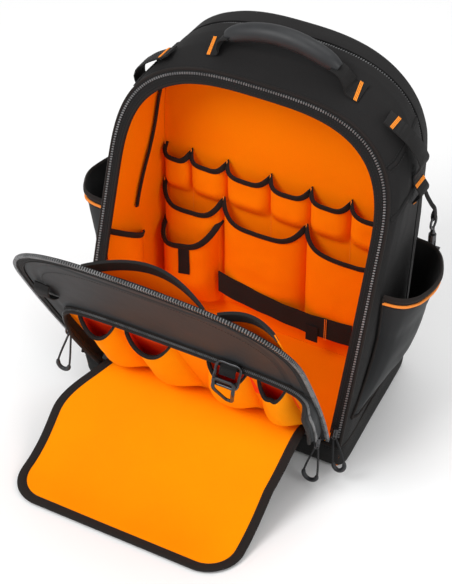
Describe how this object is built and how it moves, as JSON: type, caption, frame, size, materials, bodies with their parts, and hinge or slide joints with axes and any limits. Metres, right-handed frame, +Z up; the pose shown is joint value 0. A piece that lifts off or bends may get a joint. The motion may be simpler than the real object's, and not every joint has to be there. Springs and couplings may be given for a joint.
{
  "type": "tool backpack",
  "caption": "Open tool backpack with a bright lining, pockets for hand tools inside, a fold-down front, side pockets, a carrying handle and padded shoulder straps",
  "frame": {"origin": "the middle of the base's underside", "axes": "+Z up from the ground; -Y to the open front, where the door and flap lie; +X to the right as seen from the front"},
  "size_m": [0.482, 0.5133, 0.5043],
  "materials": {
    "black_cloth": "woven, matte",
    "webbing": "ribbed, matte",
    "coated_cloth": "coated, satin",
    "lining_cloth": "woven, matte",
    "moulded": "satin",
    "dark_metal": "satin"
  },
  "bodies": {
    "root": {"base_boot": "black_cloth", "rear_shell": "black_cloth", "rear_zip": "black_cloth", "body_zip": "black_cloth", "door_zip": "black_cloth", "front_pocket_wall": "black_cloth", "flap_binding": "black_cloth", "tool_strap": "webbing", "side_webbing_left": "webbing", "side_webbing_right": "webbing", "handle_webbing_left": "webbing", "handle_webbing_right": "webbing", "shoulder_strap_left": "black_cloth", "shoulder_strap_right": "black_cloth", "strap_webbing_left": "webbing", "strap_webbing_right": "webbing", "pull_cord_pocket_left": "webbing", "pull_cord_pocket_right": "webbing", "pull_cord_door_right": "webbing", "ring_tab": "webbing", "snap_tab": "webbing", "back_pad": "black_cloth", "body_shell": "coated_cloth", "door_panel": "coated_cloth", "side_pocket_left": "coated_cloth", "side_pocket_right": "coated_cloth", "lining": "lining_cloth", "door_lining": "lining_cloth", "door_pockets": "lining_cloth", "tool_pocket_1": "lining_cloth", "tool_pocket_2": "lining_cloth", "tool_pocket_3": "lining_cloth", "tool_pocket_4": "lining_cloth", "flap": "lining_cloth", "pockets_upper": "lining_cloth", "pockets_middle": "lining_cloth", "goggle_pocket": "lining_cloth", "wall_pocket_left": "lining_cloth", "wall_pocket_right": "lining_cloth", "handle_grip": "moulded", "pull_grip_pocket_left": "moulded", "pull_grip_pocket_right": "moulded", "pull_grip_door_right": "moulded", "triangle_ring": "moulded", "slider_pocket_left": "dark_metal", "slider_pocket_right": "dark_metal", "slider_door_right": "dark_metal", "d_ring": "dark_metal", "snap_eye": "dark_metal"},
    "swivel": {"snap_body": "dark_metal"},
    "bolt": {"snap_bolt": "dark_metal"}
  },
  "joints": [
    {"name": "snap_swivel", "type": "hinge", "parent": "root", "child": "swivel", "pos_m": [0.195, 0.092, 0.228], "axis": [0, 0, 1], "continuous": true},
    {"name": "bolt_slide", "type": "slide", "parent": "swivel", "child": "bolt", "axis": [0, 0, 1], "range_m": [0, 0.008], "stiffness_N_per_m": 120, "springref_m": -0.002}
  ]
}
